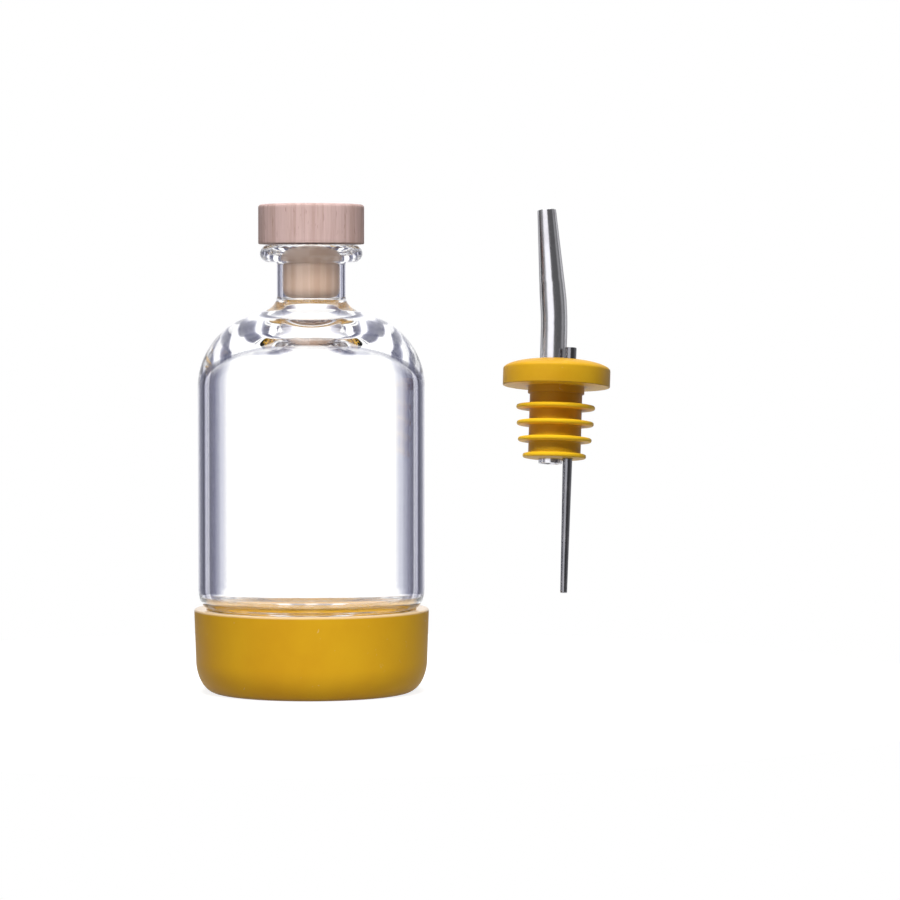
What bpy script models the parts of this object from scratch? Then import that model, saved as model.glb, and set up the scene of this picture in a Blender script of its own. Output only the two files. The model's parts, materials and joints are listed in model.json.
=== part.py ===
"""Infusion bottle: a glass bottle in a silicone boot, its wooden-headed stopper, and the
steel pourer that comes with it, set beside it.

Units are metres and +Z is up. The origin is the middle of the boot's underside, on the
bottle's axis. The front, where the photograph was taken from, is -Y.
"""

import math

import bpy

# Clearances between pieces that touch on the real object.
SEAT_GAP = 0.0003
FIT_GAP = 0.0003

# Glass bottle, from the foot up. The foot steps in to make room for the boot's wall, and
# the glass is thin at the side but heavy in the base and the shoulder.
BODY_RADIUS = 0.0397
GLASS_WALL = 0.0031
HEEL_STEP = 0.0034
HEEL_RISE = 0.0075
FOOT_CORNER = 0.0075
BASE_GLASS = 0.0189
DISH_DEPTH = 0.0060
DISH_CORNER_REACH = 0.0055
DISH_CORNER_RISE = 0.0085
PUSH_UP = 0.0018
PUSH_UP_RADIUS = 0.0250
BODY_STRAIGHT = 0.0697
SHOULDER_RISE = 0.0260
SHOULDER_REACH = 0.0257
SHOULDER_SLOPE = math.radians(20)
SHOULDER_WALL = 0.0078
NECK_FILLET = 0.0055
NECK_LENGTH = 0.0177
NECK_WALL = 0.0018
BORE_RADIUS = 0.0102
BORE_EDGE = 0.0016
LIP_OVERHANG = 0.0059
LIP_HEIGHT = 0.0060
LIP_ROOT_ROUND = 0.0008
MOUTH_FLARE = 0.0021
MOUTH_DEPTH = 0.0060

# Silicone boot, a thick cup that the glass foot stands in.
BOOT_HEIGHT = 0.0293
BOOT_FLOOR = 0.0033
BOOT_WALL = 0.0045
BOOT_DRAFT = 0.0006
BOOT_CORNER_REACH = 0.0074
BOOT_CORNER_RISE = 0.0116
BOOT_RIM_ROUND = 0.0006

# Stopper: a wooden head on a rubber plug, whose spigot is glued into the head.
HEAD_RADIUS = 0.0185
HEAD_HEIGHT = 0.0138
HEAD_TOP_ROUND = 0.0011
HEAD_FOOT_ROUND = 0.0003
PLUG_LENGTH = 0.0195
PLUG_TIP_ROUND = 0.0030
SPIGOT_RADIUS = 0.0060
SPIGOT_LENGTH = 0.0070

# Pour spout, a steel tube that bends to one side and then tapers to its tip.
SPOUT_WALL = 0.0005
SPOUT_BARREL_RADIUS = 0.0047
SPOUT_TAIL_RADIUS = 0.0041
SPOUT_TIP_RADIUS = 0.0033
SPOUT_TIP_HEIGHT = 0.0625
SPOUT_TAPER_HEIGHT = 0.0320
SPOUT_BEND_HEIGHT = 0.0250
SPOUT_BEND_LENGTH = 0.0120
SPOUT_LEAN = math.radians(5.8)
SPOUT_TAIL = 0.0016
SPOUT_SIDE = -0.0013
SPOUT_BACK = 0.0022

# Air tube, a thinner steel tube in front of the spout, tapered from its top end down.
AIR_WALL = 0.0004
AIR_TOP_RADIUS = 0.0021
AIR_TIP_RADIUS = 0.0012
AIR_RISE = 0.0037
AIR_LENGTH = 0.0857
AIR_BEARING = math.radians(-44)
TUBE_WEB = 0.0007

# Pourer bung: domed flange, collar, core and sealing fins, from the top down.
CORE_WALL = 0.0011
COLLAR_STEP = 0.0007
COLLAR_LENGTH = 0.0026
FLANGE_REACH = 0.0096
FLANGE_BAND = 0.0058
FLANGE_EDGE_ROUND = 0.0004
DOME_RISE = 0.0040
FIN_REACHES = (0.0046, 0.0043, 0.0037, 0.0019)
FIN_ROOT_THICKNESS = 0.0020
FIN_TIP_THICKNESS = 0.0014
FIRST_FIN_DROP = 0.0073
FIN_PITCH = 0.0057

# The pourer's place beside the bottle, as photographed: upright, leaning a little.
POURER_SIDE = 0.0857
POURER_SEAT_HEIGHT = 0.1070
POURER_LEAN = math.radians(1.8)
POURER_PITCH = math.radians(6.5)

# Facets.
BIG_STEPS = 48
SMALL_STEPS = 40
SPOUT_SIDES = 24
AIR_SIDES = 16
ARC_SAG = 0.0001
SHARP_ANGLE = math.radians(35)
MERGE = 0.00001
CUT_OVERSHOOT = 0.0020

# Sizes that follow from the ones above.
FOOT_RADIUS = BODY_RADIUS - HEEL_STEP
CAVITY_RADIUS = BODY_RADIUS - GLASS_WALL
NECK_RADIUS = BORE_RADIUS + NECK_WALL
LIP_RADIUS = NECK_RADIUS + LIP_OVERHANG
MOUTH_RADIUS = BORE_RADIUS + MOUTH_FLARE
BOOT_INNER = FOOT_RADIUS + FIT_GAP
BOOT_RADIUS = BOOT_INNER + BOOT_WALL
SHOULDER_CENTRE = BODY_RADIUS - SHOULDER_REACH
PLUG_RADIUS = BORE_RADIUS - FIT_GAP

FOOT_BOTTOM = BOOT_FLOOR + SEAT_GAP
FOOT_TOP = BOOT_HEIGHT + SEAT_GAP
HEEL_TOP = FOOT_TOP + HEEL_RISE
SHOULDER_BOTTOM = HEEL_TOP + BODY_STRAIGHT
SHOULDER_TOP = SHOULDER_BOTTOM + SHOULDER_RISE
LIP_BOTTOM = SHOULDER_TOP + NECK_LENGTH
LIP_TOP = LIP_BOTTOM + LIP_HEIGHT
HEAD_BOTTOM = LIP_TOP + SEAT_GAP

TUBE_SPACING = SPOUT_BARREL_RADIUS + AIR_TOP_RADIUS + 2 * FIT_GAP + TUBE_WEB
AIR_SIDE = SPOUT_SIDE + TUBE_SPACING * math.cos(AIR_BEARING)
AIR_BACK = SPOUT_BACK + TUBE_SPACING * math.sin(AIR_BEARING)
CORE_RADIUS = math.hypot(AIR_SIDE, AIR_BACK) + AIR_TOP_RADIUS + FIT_GAP + CORE_WALL
COLLAR_RADIUS = CORE_RADIUS + COLLAR_STEP
FLANGE_RADIUS = CORE_RADIUS + FLANGE_REACH
DOME_TOP = FLANGE_BAND + DOME_RISE
LAST_FIN_DROP = FIRST_FIN_DROP + FIN_PITCH * (len(FIN_REACHES) - 1)
BUNG_BOTTOM = -(LAST_FIN_DROP + FIN_ROOT_THICKNESS / 2)
SPOUT_BOTTOM = BUNG_BOTTOM - SPOUT_TAIL
AIR_TOP = DOME_TOP + AIR_RISE
AIR_BOTTOM = AIR_TOP - AIR_LENGTH


def oval_arc(centre_r, centre_z, reach_r, reach_z, start, end):
    """Points along an oval stretch of a profile, both ends included, close enough together
    for the facets to stay within ARC_SAG. Angles are in degrees: 0 points away from the axis
    and 90 points up."""
    start, end = math.radians(start), math.radians(end)
    step = 2 * math.acos(1 - ARC_SAG / max(reach_z, 2 * ARC_SAG))
    count = max(2, math.ceil(abs(end - start) / step))
    angles = [start + (end - start) * i / count for i in range(count + 1)]
    return [(centre_r + reach_r * math.cos(a), centre_z + reach_z * math.sin(a)) for a in angles]


def arc(centre_r, centre_z, radius, start, end):
    return oval_arc(centre_r, centre_z, radius, radius, start, end)


def material(name, colour, roughness, metallic=0.0, transmission=0.0):
    made = bpy.data.materials.new(name)
    made.use_nodes = True
    shader = made.node_tree.nodes["Principled BSDF"]
    shader.inputs["Base Color"].default_value = (*colour, 1.0)
    shader.inputs["Roughness"].default_value = roughness
    shader.inputs["Metallic"].default_value = metallic
    shader.inputs["Transmission Weight"].default_value = transmission
    return made


def add_object(name, data, collection, parent=None, location=(0, 0, 0)):
    obj = bpy.data.objects.new(name, data)
    collection.objects.link(obj)
    obj.parent = parent
    obj.location = location
    return obj


def turned(name, profile, steps, collection, look=None, **place):
    """Turn a profile of (radius, height) points about Z. Both of its ends are on the axis,
    and it runs down the outer side, so that the faces point outwards."""
    mesh = bpy.data.meshes.new(name)
    edges = [(i, i + 1) for i in range(len(profile) - 1)]
    mesh.from_pydata([(r, 0, z) for r, z in profile], edges, [])
    if look:
        mesh.materials.append(look)
    obj = add_object(name, mesh, collection, **place)
    screw = obj.modifiers.new("Turn", "SCREW")
    screw.angle = math.tau
    screw.steps = steps
    screw.render_steps = steps
    screw.use_merge_vertices = True
    screw.merge_threshold = MERGE
    return obj


def tube(name, centreline, radii, sides, wall, collection, look, **place):
    """An open tube along a centreline: a curve's round surface, with its wall inwards."""
    curve = bpy.data.curves.new(name + "_guide", "CURVE")
    curve.dimensions = "3D"
    curve.bevel_depth = 1.0
    curve.bevel_resolution = (sides - 4) // 2
    spline = curve.splines.new("POLY")
    spline.points.add(len(centreline) - 1)
    for point, position, radius in zip(spline.points, centreline, radii):
        point.co = (*position, 1)
        point.radius = radius
    guide = add_object(name + "_guide", curve, collection)
    mesh = bpy.data.meshes.new_from_object(evaluated(guide))
    bpy.data.objects.remove(guide)
    mesh.name = name
    mesh.materials.clear()
    mesh.materials.append(look)
    obj = add_object(name, mesh, collection, **place)
    shell = obj.modifiers.new("Wall", "SOLIDIFY")
    shell.thickness = wall
    shell.offset = -1
    shell.use_even_offset = True
    return obj


def evaluated(obj):
    bpy.context.view_layer.update()
    return obj.evaluated_get(bpy.context.evaluated_depsgraph_get())


def cut(obj, cutter):
    cutter.hide_render = True
    cutter.display_type = "WIRE"
    modifier = obj.modifiers.new("Cut " + cutter.name, "BOOLEAN")
    modifier.operation = "DIFFERENCE"
    modifier.object = cutter


def settle(obj):
    """Turn an object's modifiers into its mesh, smooth with crisp edges."""
    mesh = bpy.data.meshes.new_from_object(evaluated(obj))
    obj.modifiers.clear()
    obj.data = mesh
    mesh.name = obj.name
    mesh.shade_smooth()
    mesh.set_sharp_from_angle(angle=SHARP_ANGLE)


def mouth_funnel(bore, mouth, top):
    """The flare at the bottle's mouth, from the straight bore up to the lip."""
    steps = [i / 3 for i in range(4)]
    return [(bore + (mouth - bore) * t * t, top - MOUTH_DEPTH * (1 - t)) for t in steps]


def make_boot(collection, look):
    """The boot's inside follows the glass foot, and its outside draws in to the floor."""
    foot = BOOT_RADIUS - BOOT_DRAFT - BOOT_CORNER_REACH
    profile = [(0, BOOT_FLOOR)]
    profile += arc(BOOT_INNER - FOOT_CORNER, BOOT_FLOOR + FOOT_CORNER, FOOT_CORNER, -90, 0)
    rim = BOOT_HEIGHT - BOOT_RIM_ROUND
    profile += arc(BOOT_INNER + BOOT_RIM_ROUND, rim, BOOT_RIM_ROUND, 180, 90)
    profile += arc(BOOT_RADIUS - BOOT_RIM_ROUND, rim, BOOT_RIM_ROUND, 90, 0)
    profile += oval_arc(foot, BOOT_CORNER_RISE, BOOT_CORNER_REACH, BOOT_CORNER_RISE, 0, -90)
    profile += [(0, 0)]
    return turned("silicone_boot", profile, BIG_STEPS, collection, look)


def shoulder(side_wall, crown_wall, side, edge):
    """Points up a face of the shoulder, which lies within the glass's outside by one wall at
    its side and another at its crown: an oval, then a straight slope, and a round edge where
    it turns up into the neck's side."""
    reach = SHOULDER_REACH - side_wall
    rise = SHOULDER_RISE - crown_wall
    slope = math.tan(SHOULDER_SLOPE)
    oval_end = math.degrees(math.atan2(rise, reach * slope))
    points = oval_arc(SHOULDER_CENTRE, SHOULDER_BOTTOM, reach, rise, 0, oval_end)
    oval_r, oval_z = points[-1]
    edge_r = side + edge * (1 - math.sin(SHOULDER_SLOPE))
    edge_z = oval_z + (oval_r - edge_r) * slope
    centre_z = edge_z + edge * math.cos(SHOULDER_SLOPE)
    return points + arc(side + edge, centre_z, edge, -90 - math.degrees(SHOULDER_SLOPE), -180)


def bottle_inside():
    """The cavity's half of the glass profile: a shallow dish in the heavy base, a corner up
    to the side, then the shoulder, bore and mouth."""
    floor = FOOT_BOTTOM + BASE_GLASS
    edge = CAVITY_RADIUS - DISH_CORNER_REACH
    dish = (edge**2 + DISH_DEPTH**2) / (2 * DISH_DEPTH)
    profile = arc(0, floor + dish, dish, -90, math.degrees(math.asin(edge / dish)) - 90)
    profile[0] = (0, floor)
    corner_top = floor + DISH_DEPTH + DISH_CORNER_RISE
    profile += oval_arc(edge, corner_top, DISH_CORNER_REACH, DISH_CORNER_RISE, -90, 0)[1:]
    profile += shoulder(GLASS_WALL, SHOULDER_WALL, BORE_RADIUS, BORE_EDGE)
    profile += mouth_funnel(BORE_RADIUS, MOUTH_RADIUS, LIP_TOP)
    return profile


def bottle_outside():
    """The outer half of the glass profile, from the lip down to the foot's middle."""
    bead = LIP_HEIGHT / 2
    root = LIP_BOTTOM - LIP_ROOT_ROUND
    profile = arc(LIP_RADIUS - bead, LIP_BOTTOM + bead, bead, 90, -90)
    profile += arc(NECK_RADIUS + LIP_ROOT_ROUND, root, LIP_ROOT_ROUND, 90, 180)
    profile += shoulder(0, 0, NECK_RADIUS, NECK_FILLET)[::-1]
    profile += oval_arc(FOOT_RADIUS, HEEL_TOP, HEEL_STEP, HEEL_RISE, 0, -90)
    profile += arc(FOOT_RADIUS - FOOT_CORNER, FOOT_BOTTOM + FOOT_CORNER, FOOT_CORNER, 0, -90)
    push_up = oval_arc(0, FOOT_BOTTOM, PUSH_UP_RADIUS, PUSH_UP, 0, 90)
    push_up[-1] = (0, FOOT_BOTTOM + PUSH_UP)
    return profile + push_up


def make_bottle(collection, look):
    profile = bottle_inside() + bottle_outside()
    return turned("glass_bottle", profile, BIG_STEPS, collection, look)


def make_stopper(collection, wood, rubber):
    """The head and the plug share an origin on the bottle's axis, at the head's underside."""
    axis = add_object("stopper_axis", None, collection, location=(0, 0, HEAD_BOTTOM))
    socket = SPIGOT_RADIUS + FIT_GAP
    socket_top = SPIGOT_LENGTH + SEAT_GAP
    crown = HEAD_HEIGHT - HEAD_TOP_ROUND
    head = [(0, HEAD_HEIGHT)]
    head += arc(HEAD_RADIUS - HEAD_TOP_ROUND, crown, HEAD_TOP_ROUND, 90, 0)
    head += arc(HEAD_RADIUS - HEAD_FOOT_ROUND, HEAD_FOOT_ROUND, HEAD_FOOT_ROUND, 0, -90)
    head += [(socket, 0), (socket, socket_top), (0, socket_top)]

    plug = [(0, SPIGOT_LENGTH), (SPIGOT_RADIUS, SPIGOT_LENGTH), (SPIGOT_RADIUS, -SEAT_GAP)]
    plug += mouth_funnel(PLUG_RADIUS, MOUTH_RADIUS - FIT_GAP, -SEAT_GAP)[::-1]
    tip = PLUG_TIP_ROUND - PLUG_LENGTH
    plug += arc(PLUG_RADIUS - PLUG_TIP_ROUND, tip, PLUG_TIP_ROUND, 0, -90)
    plug += [(0, -PLUG_LENGTH)]
    return [
        turned("stopper_head", head, SMALL_STEPS, collection, wood, parent=axis),
        turned("stopper_plug", plug, SMALL_STEPS, collection, rubber, parent=axis),
    ]


def bung_profile():
    """Heights are from the flange's underside, which seats on a bottle's lip."""
    profile = oval_arc(0, FLANGE_BAND, FLANGE_RADIUS, DOME_RISE, 90, 0)
    profile[0] = (0, DOME_TOP)
    edge = FLANGE_EDGE_ROUND
    profile += arc(FLANGE_RADIUS - edge, edge, edge, 0, -90)
    profile += [(COLLAR_RADIUS, 0), (COLLAR_RADIUS, -COLLAR_LENGTH)]
    profile += [(CORE_RADIUS, -COLLAR_LENGTH)]
    root = FIN_ROOT_THICKNESS / 2
    tip = FIN_TIP_THICKNESS / 2
    for number, reach in enumerate(FIN_REACHES):
        height = -(FIRST_FIN_DROP + FIN_PITCH * number)
        profile += [(CORE_RADIUS, height + root)]
        profile += arc(CORE_RADIUS + reach - tip, height, tip, 90, -90)
        profile += [(CORE_RADIUS, height - root)]
    return profile + [(0, BUNG_BOTTOM)]


def spout_radius(height):
    """The spout's outer radius: widening from its tail to the flange, then straight, then
    tapering to the tip."""
    if height < 0:
        share = height / SPOUT_BOTTOM
        return SPOUT_BARREL_RADIUS + (SPOUT_TAIL_RADIUS - SPOUT_BARREL_RADIUS) * share
    share = (height - SPOUT_TAPER_HEIGHT) / (SPOUT_TIP_HEIGHT - SPOUT_TAPER_HEIGHT)
    return SPOUT_BARREL_RADIUS + (SPOUT_TIP_RADIUS - SPOUT_BARREL_RADIUS) * max(0, share)


def spout_lean(height):
    """How far the spout's centreline has leant to the left, round a bend of even curvature."""
    into_bend = height - SPOUT_BEND_HEIGHT + SPOUT_BEND_LENGTH / 2
    slope = math.tan(SPOUT_LEAN)
    if into_bend <= 0:
        return 0
    if into_bend < SPOUT_BEND_LENGTH:
        return slope * into_bend**2 / (2 * SPOUT_BEND_LENGTH)
    return slope * (into_bend - SPOUT_BEND_LENGTH / 2)


def air_radius(height):
    share = (AIR_TOP - height) / AIR_LENGTH
    return AIR_TOP_RADIUS + (AIR_TIP_RADIUS - AIR_TOP_RADIUS) * share


def make_bore(name, radius_at, side, back, cutters, place):
    """A cutter for a tube's hole through the bung, a fit larger than the tube."""
    heights = (DOME_TOP + CUT_OVERSHOOT, 0, BUNG_BOTTOM - CUT_OVERSHOOT)
    profile = [(radius_at(z) + FIT_GAP, z) for z in heights]
    profile = [(0, heights[0])] + profile + [(0, heights[-1])]
    return turned(name, profile, SPOUT_SIDES, cutters, parent=place, location=(side, back, 0))


def make_pourer(collection, cutters, silicone, steel):
    """The pourer's own frame has its origin in the middle of the flange's underside. The
    spout and the air tube each have their origin on their own bore's axis."""
    place = add_object("pourer_place", None, collection)
    place.location = (POURER_SIDE, 0, POURER_SEAT_HEIGHT)
    place.rotation_euler = (-POURER_PITCH, POURER_LEAN, 0)

    bung = turned("pourer_bung", bung_profile(), SMALL_STEPS, collection, silicone, parent=place)
    cut(bung, make_bore("spout_bore", spout_radius, SPOUT_SIDE, SPOUT_BACK, cutters, place))
    cut(bung, make_bore("air_bore", air_radius, AIR_SIDE, AIR_BACK, cutters, place))

    bend_start = SPOUT_BEND_HEIGHT - SPOUT_BEND_LENGTH / 2
    heights = [SPOUT_BOTTOM, 0]
    heights += [bend_start + SPOUT_BEND_LENGTH * i / 4 for i in range(5)]
    heights += [SPOUT_TAPER_HEIGHT, SPOUT_TIP_HEIGHT]
    heights = sorted(set(heights))
    spout = tube(
        "pour_spout",
        [(-spout_lean(z), 0, z) for z in heights],
        [spout_radius(z) for z in heights],
        SPOUT_SIDES,
        SPOUT_WALL,
        collection,
        steel,
        parent=place,
        location=(SPOUT_SIDE, SPOUT_BACK, 0),
    )

    ends = (AIR_BOTTOM, AIR_TOP)
    air = tube(
        "air_tube",
        [(0, 0, z) for z in ends],
        [air_radius(z) for z in ends],
        AIR_SIDES,
        AIR_WALL,
        collection,
        steel,
        parent=place,
        location=(AIR_SIDE, AIR_BACK, 0),
    )
    return [bung, spout, air]


def main():
    for obj in list(bpy.data.objects):
        bpy.data.objects.remove(obj, do_unlink=True)
    model = bpy.data.collections.new("infusion_bottle")
    cutters = bpy.data.collections.new("cutters")
    for collection in (model, cutters):
        bpy.context.scene.collection.children.link(collection)

    glass = material("clear_glass", (1.0, 1.0, 1.0), 0.02, transmission=1.0)
    boot = material("mustard_silicone", (0.68, 0.37, 0.02), 0.55)
    wood = material("pale_beech", (0.53, 0.33, 0.25), 0.60)
    rubber = material("beige_rubber", (0.50, 0.34, 0.22), 0.50)
    bung = material("mustard_bung_silicone", (0.68, 0.37, 0.02), 0.50)
    steel = material("polished_steel", (0.62, 0.62, 0.63), 0.18, metallic=1.0)

    pieces = [make_boot(model, boot), make_bottle(model, glass)]
    pieces += make_stopper(model, wood, rubber)
    pieces += make_pourer(model, cutters, bung, steel)
    for piece in pieces:
        settle(piece)


main()
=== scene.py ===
import json
import math

import bmesh
import bpy
from mathutils import Matrix, Vector


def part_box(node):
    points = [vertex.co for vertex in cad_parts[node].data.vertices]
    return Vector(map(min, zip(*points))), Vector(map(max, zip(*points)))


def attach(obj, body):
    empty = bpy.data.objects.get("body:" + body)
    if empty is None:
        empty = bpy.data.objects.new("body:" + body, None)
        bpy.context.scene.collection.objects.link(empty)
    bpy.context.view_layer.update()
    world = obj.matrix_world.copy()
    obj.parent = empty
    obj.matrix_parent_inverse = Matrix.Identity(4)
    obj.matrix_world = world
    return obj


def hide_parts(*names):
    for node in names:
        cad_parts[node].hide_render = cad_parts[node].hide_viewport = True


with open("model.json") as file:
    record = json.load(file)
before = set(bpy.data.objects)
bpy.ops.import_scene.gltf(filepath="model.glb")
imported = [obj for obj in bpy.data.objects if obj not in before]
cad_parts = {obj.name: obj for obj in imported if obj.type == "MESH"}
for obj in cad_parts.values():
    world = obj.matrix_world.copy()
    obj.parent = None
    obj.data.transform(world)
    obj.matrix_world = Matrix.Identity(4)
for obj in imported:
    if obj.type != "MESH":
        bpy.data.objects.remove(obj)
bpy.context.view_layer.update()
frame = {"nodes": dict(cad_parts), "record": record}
print("frame loaded:", ", ".join(sorted(frame["nodes"])))

record = frame["record"]


def nodeHeights(node):
    low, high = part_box(node)
    return low[2], high[2]


def nodeRadius(node):
    low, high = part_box(node)
    return (high[0] - low[0]) / 2


def arcPoints(centre, reach, start, end, count):
    # points round part of an oval, in (radius, height); angles in degrees, 0 out and 90 up
    angles = [math.radians(start + (end - start) * i / count) for i in range(count + 1)]
    return [(centre[0] + reach[0] * math.cos(a), centre[1] + reach[1] * math.sin(a)) for a in angles]


def roundPoints(centre, radius, start, end, count):
    return arcPoints(centre, (radius, radius), start, end, count)


def runPoints(start, end, count, grip=0.0006):
    # a straight run with a support ring near each end, so that smooth shading stays flat along it
    (r0, z0), (r1, z1) = start, end
    length = math.hypot(r1 - r0, z1 - z0)
    shares = [grip / length] + [i / count for i in range(1, count)] + [1 - grip / length]
    return [(r0 + (r1 - r0) * s, z0 + (z1 - z0) * s) for s in shares]


def spinProfile(bm, points, steps, slot=0):
    # turns a profile of (radius, height) points about Z; its faces get the material slot
    old = set(bm.faces)
    verts = [bm.verts.new((r, 0, z)) for r, z in points]
    edges = [bm.edges.new(pair) for pair in zip(verts, verts[1:])]
    bmesh.ops.spin(
        bm, geom=verts + edges, cent=(0, 0, 0), axis=(0, 0, 1), dvec=(0, 0, 0),
        angle=math.tau, steps=steps, use_merge=True, use_duplicate=False,
    )
    for face in bm.faces:
        if face not in old:
            face.material_index = slot


def closeUp(bm):
    # joins the seam and the poles, and turns all faces outwards
    bmesh.ops.remove_doubles(bm, verts=bm.verts[:], dist=0.000002)
    bmesh.ops.recalc_face_normals(bm, faces=bm.faces[:])
    if bm.calc_volume(signed=True) < 0:
        bmesh.ops.reverse_faces(bm, faces=bm.faces[:])


def turned(points, steps):
    bm = bmesh.new()
    spinProfile(bm, points, steps)
    closeUp(bm)
    return bm


def newObject(name, bm, materials=()):
    mesh = bpy.data.meshes.new(name)
    bm.to_mesh(mesh)
    bm.free()
    for look in materials:
        mesh.materials.append(look)
    piece = bpy.data.objects.new(name, mesh)
    bpy.context.scene.collection.objects.link(piece)
    return piece


def finishPiece(piece, body, node, sharp=60):
    piece.data.shade_smooth()
    piece.data.set_sharp_from_angle(angle=math.radians(sharp))
    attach(piece, body)
    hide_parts(node)
    print("made", piece.name, len(piece.data.polygons), "faces")


# node helpers that the materials and the studio share
def newMaterial(name):
    look = bpy.data.materials.new(name)
    look.use_nodes = True
    return look, look.node_tree, look.node_tree.nodes["Principled BSDF"]


def setInput(tree, socket, value):
    if isinstance(value, bpy.types.NodeSocket):
        tree.links.new(value, socket)
    else:
        socket.default_value = value


def mathNode(tree, operation, *values, clamp=False):
    node = tree.nodes.new("ShaderNodeMath")
    node.operation = operation
    node.use_clamp = clamp
    for socket, value in zip(node.inputs, values):
        setInput(tree, socket, value)
    return node.outputs[0]


def between(tree, value, low, high):
    # a value's place between low and high, eased at both ends
    node = tree.nodes.new("ShaderNodeMapRange")
    node.interpolation_type = "SMOOTHSTEP"
    for socket, number in zip(node.inputs, (value, low, high)):
        setInput(tree, socket, number)
    return node.outputs["Result"]


def rampNode(tree, factor, stops):
    node = tree.nodes.new("ShaderNodeValToRGB")
    ramp = node.color_ramp
    while len(ramp.elements) > 1:
        ramp.elements.remove(ramp.elements[-1])
    for i, (place, colour) in enumerate(stops):
        element = ramp.elements[0] if i == 0 else ramp.elements.new(place)
        element.position = place
        element.color = (*colour, 1)
    tree.links.new(factor, node.inputs["Fac"])
    return node.outputs["Color"]


def mixColour(tree, factor, first, second):
    # a mix node keeps its colour sockets after those for numbers and vectors
    node = tree.nodes.new("ShaderNodeMix")
    node.data_type = "RGBA"
    setInput(tree, node.inputs[0], factor)
    setInput(tree, node.inputs[6], first)
    setInput(tree, node.inputs[7], second)
    return node.outputs[2]


def mapped(tree, coords, place=(0, 0, 0), turn=(0, 0, 0), stretch=(1, 1, 1)):
    node = tree.nodes.new("ShaderNodeMapping")
    tree.links.new(coords, node.inputs["Vector"])
    node.inputs["Location"].default_value = place
    node.inputs["Rotation"].default_value = turn
    node.inputs["Scale"].default_value = stretch
    return node.outputs["Vector"]


def noiseNode(tree, coords, scale, detail=2.0, rough=0.5, warp=0.0):
    node = tree.nodes.new("ShaderNodeTexNoise")
    tree.links.new(coords, node.inputs["Vector"])
    setInput(tree, node.inputs["Scale"], scale)
    node.inputs["Detail"].default_value = detail
    node.inputs["Roughness"].default_value = rough
    node.inputs["Distortion"].default_value = warp
    return node.outputs["Fac"]


def bumpNode(tree, height, strength, distance):
    node = tree.nodes.new("ShaderNodeBump")
    node.inputs["Strength"].default_value = strength
    node.inputs["Distance"].default_value = distance
    tree.links.new(height, node.inputs["Height"])
    return node.outputs["Normal"]


def textureCoords(tree, kind="Object"):
    return tree.nodes.new("ShaderNodeTexCoord").outputs[kind]


def splitNode(tree, vector):
    node = tree.nodes.new("ShaderNodeSeparateXYZ")
    tree.links.new(vector, node.inputs[0])
    return node.outputs


def lengthNode(tree, vector):
    node = tree.nodes.new("ShaderNodeVectorMath")
    node.operation = "LENGTH"
    tree.links.new(vector, node.inputs[0])
    return node.outputs["Value"]


def newGroup(name, inputs, outputs):
    # sockets are given as (label, kind), the kind being Vector, Color or Float
    tree = bpy.data.node_groups.new(name, "ShaderNodeTree")
    for side, sockets in (("INPUT", inputs), ("OUTPUT", outputs)):
        for label, kind in sockets:
            tree.interface.new_socket(label, in_out=side, socket_type="NodeSocket" + kind)
    return tree, tree.nodes.new("NodeGroupInput").outputs, tree.nodes.new("NodeGroupOutput").inputs


def groupNode(tree, group, coords, values):
    node = tree.nodes.new("ShaderNodeGroup")
    node.node_tree = group
    tree.links.new(coords, node.inputs["Coords"])
    for label, value in values.items():
        node.inputs[label].default_value = value
    return node.outputs


def mouldedSkinGroup():
    # soft moulded rubber: cloudy tone, fine pebbling from the mould, and a few pale specks of lint
    tree, given, made = newGroup(
        "mouldedSkin",
        (
            ("Coords", "Vector"), ("Colour", "Color"), ("Deep Colour", "Color"), ("Lint Colour", "Color"),
            ("Cloud Scale", "Float"), ("Pebble Scale", "Float"), ("Roughness", "Float"), ("Lint", "Float"),
        ),
        (("Colour", "Color"), ("Roughness", "Float"), ("Height", "Float")),
    )
    clouds = noiseNode(tree, given["Coords"], given["Cloud Scale"], 4.0, 0.55)
    pebbles = noiseNode(tree, given["Coords"], given["Pebble Scale"], 2.0, 0.6)
    lintScale = mathNode(tree, "MULTIPLY", given["Pebble Scale"], 0.22)
    lint = between(tree, noiseNode(tree, given["Coords"], lintScale, 1.0, 0.4, 1.5), 0.74, 0.80)
    lint = mathNode(tree, "MULTIPLY", lint, given["Lint"])

    tone = between(tree, clouds, 0.30, 0.70)
    colour = mixColour(tree, tone, given["Deep Colour"], given["Colour"])
    tree.links.new(mixColour(tree, lint, colour, given["Lint Colour"]), made["Colour"])
    rough = mathNode(tree, "ADD", given["Roughness"], mathNode(tree, "MULTIPLY_ADD", clouds, 0.16, -0.08))
    tree.links.new(mathNode(tree, "ADD", rough, mathNode(tree, "MULTIPLY", lint, 0.2)), made["Roughness"])
    height = mathNode(tree, "MULTIPLY_ADD", clouds, 0.6, mathNode(tree, "MULTIPLY", pebbles, 0.4))
    tree.links.new(height, made["Height"])
    return tree


mouldedSkin = mouldedSkinGroup()
lintColour = (0.80, 0.72, 0.55)


def paintedFinRimLight(tree, coords, place, reaches):
    # a mask of the thin fins' rims, below the flange, where a painted highlight lightens the colour; place
    # is the bung's own frame
    back = place.inverted()
    around = mapped(tree, coords, back.translation, back.to_euler())
    outwards = lengthNode(tree, mapped(tree, around, stretch=(1, 1, 0)))
    below = mathNode(tree, "LESS_THAN", splitNode(tree, around)["Z"], 0.0)
    return mathNode(tree, "MULTIPLY", between(tree, outwards, *reaches), below)


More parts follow.
